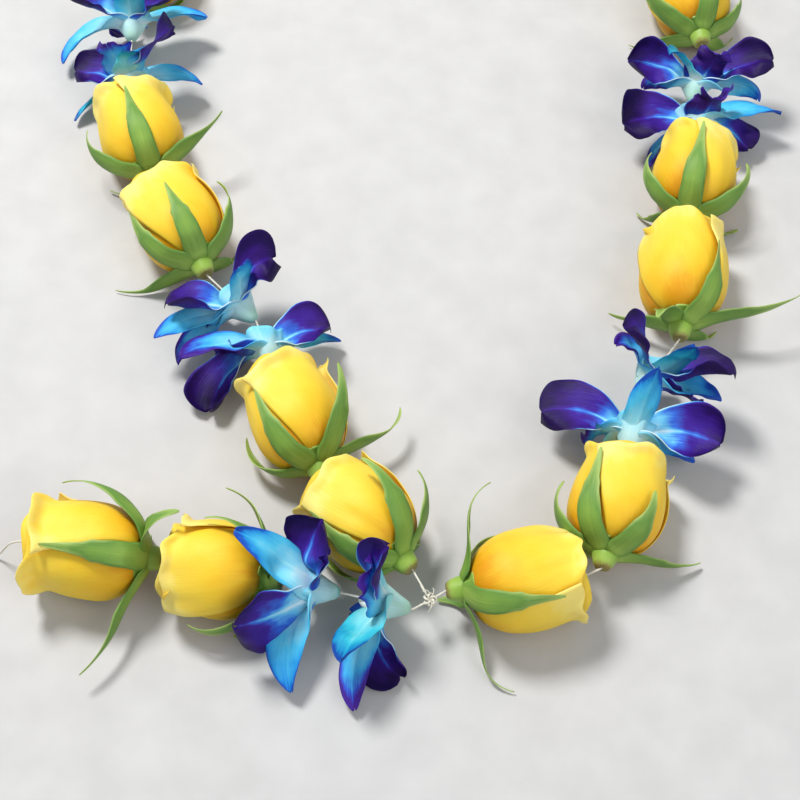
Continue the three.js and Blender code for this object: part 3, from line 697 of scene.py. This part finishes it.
def funnel(piece, draw):
    """The pale throat: an open cup whose rim has six lobes, closed at the thread."""
    sides = 48
    outer = np.linspace(FUNNEL[0][0], FUNNEL[-1][0], 16)
    inner = np.linspace(FUNNEL[-1][0], FUNNEL_OPEN_FROM, 9)
    x = np.concatenate([outer, inner])
    wall = np.concatenate([np.zeros_like(outer), np.full_like(inner, FUNNEL_WALL)])
    radius = smooth(FUNNEL, x) - wall
    around = -np.arange(sides) * 2 * math.pi / sides
    flared = step(4, FUNNEL[-1][0], x)
    lobes = 1 + 0.1 * flared[:, None] * np.cos(6 * around[None, :] + draw(0, 6.28))
    drawn_out = x[:, None] + 1.6 * (flared[:, None] ** 3) * np.cos(3 * around[None, :] + draw(0, 6.28))
    points = place(drawn_out, radius[:, None] * lobes, around[None, :])
    rings(piece, settled(points, 3, 0.5), "orchid_tube", draw(0, 1))


def column(piece, azimuth):
    """The bloom's pale column, beside the thread and away from the lip."""
    sides = 14
    x = np.linspace(COLUMN[0][0], COLUMN[-1][0], 16)
    radius = smooth(COLUMN, x)
    turn = math.radians(azimuth)
    aside = smooth(COLUMN_ASIDE, x)
    around = -np.arange(sides) * 2 * math.pi / sides
    points = place(x[:, None], radius[:, None], around[None, :])
    points[..., 1] += (aside * math.sin(turn))[:, None]
    points[..., 2] += (aside * math.cos(turn))[:, None]
    rings(piece, points, "orchid_column")


def orchid_bloom(flower, seed):
    """A whole bloom. Its lip is the last of its tepals."""
    piece = Piece(f"{flower['label']}_look")
    draw = random_from(seed)
    funnel(piece, draw)
    for tepal in flower["tepals"]:
        tepal_blade(piece, tepal, draw)
    column(piece, flower["tepals"][-1][0] + 180)
    return piece


# ---------- Thread ----------
def resampled(points, spacing):
    """The same course, with its points evenly spaced."""
    points = np.asarray(points, float)
    at = distances(points)
    wanted = np.linspace(0, at[-1], max(2, int(at[-1] / spacing) + 1))
    return np.stack([np.interp(wanted, at, points[:, k]) for k in range(3)], -1)


def twisted_tube(piece, path, radius, pitch, look, closed=False, sides=10):
    """A two-ply thread: a section with two lobes that turns as it goes."""
    if closed:
        tangent = unit(np.roll(path, -1, 0) - np.roll(path, 1, 0))
    else:
        tangent = unit(np.gradient(path, axis=0))
    up = np.array([0.0, 0.0, 1.0])
    side = np.cross(tangent, up)
    weak = np.linalg.norm(side, axis=1) < 0.2
    side[weak] = np.cross(tangent[weak], np.array([0.0, 1.0, 0.0]))
    side = unit(side)
    over = np.cross(side, tangent)
    around = np.arange(sides) * 2 * math.pi / sides
    turn = 2 * math.pi * distances(path) / pitch
    size = radius * (0.92 + 0.14 * np.cos(2 * (around[None, :] - turn[:, None])))
    points = path[:, None, :] + side[:, None, :] * (size * np.cos(around))[..., None]
    points = points + over[:, None, :] * (size * np.sin(around))[..., None]
    rings(piece, points[:, ::-1], look, closed=closed)


def knot_path(centre, radius, steps=160):
    """A thread that winds on itself as a tied knot does."""
    t = np.linspace(0, 2 * math.pi, steps, endpoint=False)
    ring = radius * (0.56 + 0.3 * np.cos(5 * t))
    path = np.stack([ring * np.cos(2 * t), ring * np.sin(2 * t), radius * 0.42 * np.sin(5 * t)], -1)
    return path + np.asarray(centre, float)


def fibre(piece, start, heading, length, lift, draw):
    """A frayed fibre at a cut end."""
    t = np.linspace(0, 1, FIBRE_POINTS)
    bend = draw(-2.4, 2.4)
    angle = heading + bend * t
    stride = length / (FIBRE_POINTS - 1)
    x = start[0] + np.cumsum(np.cos(angle)) * stride
    y = start[1] + np.cumsum(np.sin(angle)) * stride
    z = start[2] + lift * np.sin(t * 2.2) - 2.5 * t**2
    twisted_tube(piece, np.stack([x, y, z], -1), FIBRE_RADIUS, FIBRE_PITCH, "cotton", sides=6)


def flat(points):
    """Points on the thread's axis, at its height."""
    return [(x, y, 0.0) for x, y in points]


def make_thread(materials):
    """The loop through both strands, the length through the tail, the knot in front and the tie behind."""
    piece = Piece("thread_look")
    draw = random_from(THREAD_SEED)
    loop = flat([(0, 0), *left_thread, *right_thread[::-1], (0, 0)])
    onward = flat([(0, 0), *tail_thread])
    for course in (loop, onward):
        twisted_tube(piece, resampled(course, THREAD_SPACING), THREAD_RADIUS, TWIST_PITCH, "cotton")
    tie = (np.array(left_thread[-1]) + np.array(right_thread[-1])) / 2
    front_path = knot_path((0, 0, 0), FRONT_KNOT_RADIUS)
    tie_path = knot_path((*tie, 0), NECK_TIE_RADIUS)
    twisted_tube(piece, front_path, FRONT_KNOT_STRAND, KNOT_PITCH, "cotton", closed=True)
    twisted_tube(piece, tie_path, THREAD_RADIUS, KNOT_PITCH, "cotton", closed=True)
    for heading in FIBRE_HEADINGS:
        start = (0.8 * math.cos(heading), 0.8 * math.sin(heading), 1.2)
        fibre(piece, start, heading, draw(3, 6), 1.6, draw)
    piece.made(materials, "thread", "thread")


def loose_start():
    """The last rosebud's mouth, where the free end begins: x, y and heading."""
    last = tail[-1]
    heading = math.radians(last["heading"])
    x = last["x"] + last["length"] * math.cos(heading)
    y = last["y"] + last["length"] * math.sin(heading)
    return x, y, last["heading"]


def make_loose_end(materials):
    """The thread's free end, a limp cord with a knot in its tip."""
    x, y, heading = loose_start()
    route = np.array([(a, b, c - AXIS_HEIGHT) for a, b, c in LOOSE_ROUTE], float)

    # A smooth curve through the route, with one more point before it and one after it
    extended = np.vstack([2 * route[0] - route[1], route, 2 * route[-1] - route[-2]])
    t = np.linspace(0, 1, 9)[:-1, None]
    stretches = []
    for i in range(1, len(extended) - 2):
        p0, p1, p2, p3 = extended[i - 1 : i + 3]
        lower = 2 * p1 + (p2 - p0) * t + (2 * p0 - 5 * p1 + 4 * p2 - p3) * t**2
        stretches.append((lower + (3 * p1 - p0 - 3 * p2 + p3) * t**3) / 2)
    path = np.vstack([*stretches, route[-1:]])

    piece = Piece("thread_end_look")
    twisted_tube(piece, path, THREAD_RADIUS, LOOSE_PITCH, "cotton")
    cord = piece.made(materials, "thread", "thread_end", at=(x, y, heading))
    knot = Piece("thread_end_knot_look")
    knot_rise = LOOSE_KNOT_RADIUS - route[-1][2] - AXIS_HEIGHT  # it rests on the surface
    tip = route[-1] + np.array([LOOSE_KNOT_RADIUS + 0.3, 0, knot_rise])
    tip_path = knot_path(tip, LOOSE_KNOT_WINDING)
    twisted_tube(knot, tip_path, LOOSE_KNOT_STRAND, LOOSE_KNOT_PITCH, "cotton", closed=True)
    end = knot.made(materials, "thread", "thread_end_knot", at=(x, y, heading))
    row = to_scene(path, x, y, heading)


# ---------- Materials ----------
def linear(rgb):
    """A colour as seen, 0 to 255, as the shaders want it."""
    out = []
    for value in rgb:
        c = value / 255
        out.append(c / 12.92 if c <= 0.04045 else ((c + 0.055) / 1.055) ** 2.4)
    return (*out, 1.0)


class Nodes:
    """A material's node tree, one short call for each node."""

    def __init__(self, name):
        self.material = bpy.data.materials.new(name)
        self.material.use_nodes = True
        self.tree = self.material.node_tree
        self.tree.nodes.clear()

    def node(self, kind, **settings):
        made = self.tree.nodes.new(kind)
        for key, value in settings.items():
            setattr(made, key, value)
        return made

    def link(self, source, target):
        self.tree.links.new(source, target)

    def math(self, operation, a, b):
        made = self.node("ShaderNodeMath", operation=operation)
        for socket, value in zip(made.inputs, (a, b)):
            if isinstance(value, (int, float)):
                socket.default_value = value
            else:
                self.link(value, socket)
        return made.outputs[0]

    def noise(self, vector, scale, detail=3.0, roughness=0.5):
        scaled = self.node("ShaderNodeVectorMath", operation="MULTIPLY")
        self.link(vector, scaled.inputs[0])
        scaled.inputs[1].default_value = scale
        made = self.node("ShaderNodeTexNoise")
        made.inputs["Scale"].default_value = 1.0
        made.inputs["Detail"].default_value = detail
        made.inputs["Roughness"].default_value = roughness
        self.link(scaled.outputs[0], made.inputs["Vector"])
        return made.outputs["Fac"]

    def ramp(self, factor, stops):
        made = self.node("ShaderNodeValToRGB")
        band = made.color_ramp
        while len(band.elements) < len(stops):
            band.elements.new(0.5)
        for element, (at, colour) in zip(band.elements, stops):
            element.position = at
            element.color = linear(colour)
        self.link(factor, made.inputs["Fac"])
        return made.outputs["Color"]

    def finish(self, shader):
        out = self.node("ShaderNodeOutputMaterial")
        self.link(shader, out.inputs["Surface"])
        return self.material


def leaf_material(name, stops, edge=0.15, midline=0.0, rim=0.0, streaks=0.12, mottle=0.2, vary=0.1,
                  rough=0.5, glow=0.15, scatter=0.15, bump=0.25, tint=(1.0, 0.6, 0.3), mirror=0.3):
    """A petal or leaf. Its colour runs through the stops from root to tip, and onwards at its edges.
    A midline and a rim are nearer to the root's colour. The rim is a painted highlight along the margins,
    which fades towards the tip."""
    n = Nodes(name)
    place_node = n.node("ShaderNodeAttribute", attribute_name="leaf_place")
    span_node = n.node("ShaderNodeAttribute", attribute_name="leaf_span")
    parts = n.node("ShaderNodeSeparateXYZ")
    n.link(place_node.outputs["Vector"], parts.inputs[0])
    along, across, shade = parts.outputs
    span = span_node.outputs["Vector"]
    streak = n.noise(span, (2.2, 0.09, 1.0), 4.0, 0.6)
    cloud = n.noise(span, (0.16, 0.12, 1.0), 2.0)
    grain = n.noise(span, (5.0, 4.0, 1.0), 3.0, 0.6)
    edges = n.math("POWER", across, 3.0)
    factor = n.math("ADD", along, n.math("MULTIPLY", edges, edge))
    if midline:
        centre = n.math("POWER", n.math("SUBTRACT", 1.0, across), 12.0)
        factor = n.math("SUBTRACT", factor, n.math("MULTIPLY", centre, midline))
    # The rim: a painted highlight along the margins, paler near the root and fading towards the tip.
    if rim:
        rim_highlight = n.math("MULTIPLY", n.math("POWER", across, 26.0), rim)
        fading = n.math("MAXIMUM", n.math("SUBTRACT", 1.1, along), 0.0)
        factor = n.math("SUBTRACT", factor, n.math("MULTIPLY", rim_highlight, fading))
    for source, amount in ((streak, streaks), (cloud, mottle), (shade, vary)):
        centred = n.math("SUBTRACT", source, 0.5)
        factor = n.math("ADD", factor, n.math("MULTIPLY", centred, amount * 2))
    colour = n.ramp(factor, stops)
    height = n.math("ADD", n.math("MULTIPLY", streak, 0.8), n.math("MULTIPLY", grain, 0.25))
    relief = n.node("ShaderNodeBump")
    relief.inputs["Strength"].default_value = bump
    relief.inputs["Distance"].default_value = 0.0006
    n.link(height, relief.inputs["Height"])
    shine = n.math("ADD", n.math("MULTIPLY", grain, 0.2), rough - 0.1)
    body = n.node("ShaderNodeBsdfPrincipled")
    n.link(colour, body.inputs["Base Color"])
    n.link(shine, body.inputs["Roughness"])
    n.link(relief.outputs[0], body.inputs["Normal"])
    body.inputs["Subsurface Weight"].default_value = scatter
    body.inputs["Subsurface Radius"].default_value = tint
    body.inputs["Subsurface Scale"].default_value = 0.002
    body.inputs["Specular IOR Level"].default_value = mirror
    through = n.node("ShaderNodeBsdfTranslucent")
    n.link(colour, through.inputs["Color"])
    n.link(relief.outputs[0], through.inputs["Normal"])
    mix = n.node("ShaderNodeMixShader")
    mix.inputs[0].default_value = glow
    n.link(body.outputs[0], mix.inputs[1])
    n.link(through.outputs[0], mix.inputs[2])
    return n.finish(mix.outputs[0])


def cotton_material(name):
    n = Nodes(name)
    span_node = n.node("ShaderNodeAttribute", attribute_name="leaf_span")
    fibres = n.noise(span_node.outputs["Vector"], (1.5, 3.0, 1.0), 4.0, 0.65)
    colour = n.ramp(fibres, [(0.3, (186, 178, 156)), (0.7, (240, 237, 224))])
    relief = n.node("ShaderNodeBump")
    relief.inputs["Strength"].default_value = 0.5
    relief.inputs["Distance"].default_value = 0.0002
    n.link(fibres, relief.inputs["Height"])
    body = n.node("ShaderNodeBsdfPrincipled")
    n.link(colour, body.inputs["Base Color"])
    n.link(relief.outputs[0], body.inputs["Normal"])
    body.inputs["Roughness"].default_value = 0.8
    body.inputs["Sheen Weight"].default_value = 0.3
    return n.finish(body.outputs[0])


def floor_material(name):
    n = Nodes(name)
    where = n.node("ShaderNodeTexCoord")
    grain = n.noise(where.outputs["Object"], (60.0, 60.0, 60.0), 5.0)
    colour = n.ramp(grain, [(0.3, (184, 183, 181)), (0.7, (192, 191, 189))])
    body = n.node("ShaderNodeBsdfPrincipled")
    n.link(colour, body.inputs["Base Color"])
    body.inputs["Roughness"].default_value = 0.85
    return n.finish(body.outputs[0])


# The lowest, orange stop colours the petals' roots and is also the painted shade beside their covered
# edges.
YELLOWS = [(0.0, (236, 164, 22)), (0.16, (247, 192, 38)), (0.45, (252, 210, 56)), (0.8, (254, 220, 80)),
           (1.0, (255, 234, 130))]
GREENS = [(0.0, (156, 188, 84)), (0.2, (132, 168, 70)), (0.6, (102, 144, 62)), (1.0, (160, 186, 100))]
HIP_GREENS = [(0.0, (140, 128, 70)), (0.12, (150, 178, 78)), (0.6, (128, 166, 62)), (1.0, (152, 184, 84))]
PALES = [(0.0, (232, 247, 240)), (0.3, (150, 228, 232)), (0.62, (62, 196, 214)), (0.9, (18, 140, 192)),
         (1.0, (24, 72, 160))]
CYANS = [(0.0, (226, 247, 250)), (0.28, (156, 228, 244)), (0.62, (84, 200, 238)), (0.9, (38, 150, 224)),
         (1.0, (30, 84, 190))]
EDGEDS = [(0.0, (222, 246, 250)), (0.32, (142, 224, 244)), (0.68, (72, 184, 236)), (0.88, (54, 82, 200)),
          (1.0, (64, 28, 136))]
VIOLETS = [(0.0, (216, 243, 250)), (0.24, (118, 208, 244)), (0.42, (58, 112, 220)), (0.58, (66, 34, 152)),
           (0.82, (50, 18, 108)), (1.0, (32, 10, 72))]
LIPS = [(0.0, (130, 206, 238)), (0.22, (44, 92, 204)), (0.46, (60, 26, 126)), (0.8, (44, 16, 92)),
        (1.0, (74, 42, 156))]
TUBES = [(0.0, (172, 214, 196)), (0.3, (196, 236, 238)), (0.6, (130, 216, 238)), (1.0, (60, 182, 228))]
COLUMNS = [(0.0, (180, 226, 232)), (0.5, (232, 244, 238)), (1.0, (244, 248, 240))]

WARM = (1.0, 0.6, 0.2)
COOL = (0.3, 0.6, 1.0)
FRESH = (0.6, 1.0, 0.3)


def all_materials():
    blue = {"scatter": 0.08, "glow": 0.14, "rough": 0.44, "tint": COOL, "mottle": 0.26, "mirror": 0.18,
            "bump": 0.5}
    return {
        # On the outer rose petals the paler edge colour is a painted highlight on their free edges.
        "rose_petal": leaf_material("rose_petal", YELLOWS, edge=0.26, streaks=0.12, mottle=0.18, rough=0.5,
                                    glow=0.16, scatter=0.2, bump=0.32, tint=WARM),
        "rose_sepal": leaf_material("rose_sepal", GREENS, edge=0.42, midline=0.1, streaks=0.18, rough=0.5,
                                    glow=0.1, scatter=0.06, bump=0.35, tint=FRESH),
        "rose_hip": leaf_material("rose_hip", HIP_GREENS, edge=0, streaks=0.1, rough=0.42, glow=0.0,
                                  scatter=0.1, bump=0.2, tint=FRESH),
        PALE: leaf_material(PALE, PALES, edge=0.2, midline=0.12, streaks=0.12, **blue),
        CYAN: leaf_material(CYAN, CYANS, edge=0.26, midline=0.1, streaks=0.12, **blue),
        EDGED: leaf_material(EDGED, EDGEDS, edge=0.4, midline=0.14, streaks=0.12, **blue),
        VIOLET: leaf_material(VIOLET, VIOLETS, edge=0.3, midline=0.3, rim=1.1, streaks=0.12, vary=0.16,
                              **blue),
        LIP: leaf_material(LIP, LIPS, edge=0.3, midline=0.25, rim=0.9, streaks=0.16, **blue),
        "orchid_tube": leaf_material("orchid_tube", TUBES, edge=0, streaks=0.1, tint=COOL),
        "orchid_column": leaf_material("orchid_column", COLUMNS, edge=0, streaks=0.05, tint=COOL),
        "cotton": cotton_material("cotton"),
    }


# ---------- Camera, lights and floor ----------
CAMERA_ELEVATION = math.radians(59)
CAMERA_DISTANCE = 0.5428
CAMERA_LENS = 65.95
AIM = Vector(((KNOT_AT[0] - 10.27) * MM, (KNOT_AT[1] + 79.87) * MM, AXIS_HEIGHT * MM))
KEY_LIGHT = {"at": (-0.5, 0.45, 1.3), "size": 0.4, "energy": 24}
FILL_LIGHT = {"at": (0.8, -0.8, 1.0), "size": 1.2, "energy": 7}
SKY = {"Color": (0.9, 0.93, 1.0, 1.0), "Strength": 0.5}
FLOOR_HALF = 4.0
FLOOR_DROP = 0.0002


def make_camera():
    data = bpy.data.cameras.new("camera")
    data.lens = CAMERA_LENS
    data.sensor_width = 36
    data.clip_start = 0.01
    camera = bpy.data.objects.new("camera", data)
    bpy.context.scene.collection.objects.link(camera)
    back = Vector((0, -math.cos(CAMERA_ELEVATION), math.sin(CAMERA_ELEVATION)))
    camera.location = AIM + CAMERA_DISTANCE * back
    camera.rotation_mode = "QUATERNION"
    camera.rotation_quaternion = (-back).to_track_quat("-Z", "Y")
    bpy.context.scene.camera = camera


def make_light(name, at, size, energy):
    """A round area light that points where the camera does."""
    data = bpy.data.lights.new(name, "AREA")
    data.shape = "DISK"
    data.size = size
    data.energy = energy
    light = bpy.data.objects.new(name, data)
    bpy.context.scene.collection.objects.link(light)
    light.location = Vector(at)
    light.rotation_mode = "QUATERNION"
    light.rotation_quaternion = (AIM - light.location).to_track_quat("-Z", "Y")


def make_stage():
    mesh = bpy.data.meshes.new("floor")
    corners = [(x * FLOOR_HALF, y * FLOOR_HALF, 0) for x, y in ((-1, -1), (1, -1), (1, 1), (-1, 1))]
    mesh.from_pydata(corners, [], [(0, 1, 2, 3)])
    mesh.materials.append(floor_material("floor"))
    floor = bpy.data.objects.new("floor", mesh)
    floor.location.z = -FLOOR_DROP
    bpy.context.scene.collection.objects.link(floor)
    make_light("key", **KEY_LIGHT)
    make_light("fill", **FILL_LIGHT)
    world = bpy.data.worlds.new("world")
    world.use_nodes = True
    for key, value in SKY.items():
        world.node_tree.nodes["Background"].inputs[key].default_value = value
    bpy.context.scene.world = world
    bpy.context.scene.view_settings.view_transform = "Standard"


# ---------- The scene ----------
ROSE_PARTS = (("petals", rose_petals, "rose_petal"), ("calyx", rose_calyx, "rose_green"))

make_camera()
materials = all_materials()
make_loose_end(materials)
make_thread(materials)
for number, flower in enumerate([*left, *right, *tail]):
    label = flower["label"]
    at = (flower["x"], flower["y"], flower["heading"])
    if flower["kind"] == "rose":
        for part, build, slot in ROSE_PARTS:
            piece = build(flower, ROSE_SEED + number)
            piece.made(materials, slot, f"{label}_{part}", at=at)
    else:
        piece = orchid_bloom(flower, ORCHID_SEED + number)
        piece.made(materials, "orchid_petal", label, at=at)
make_stage()
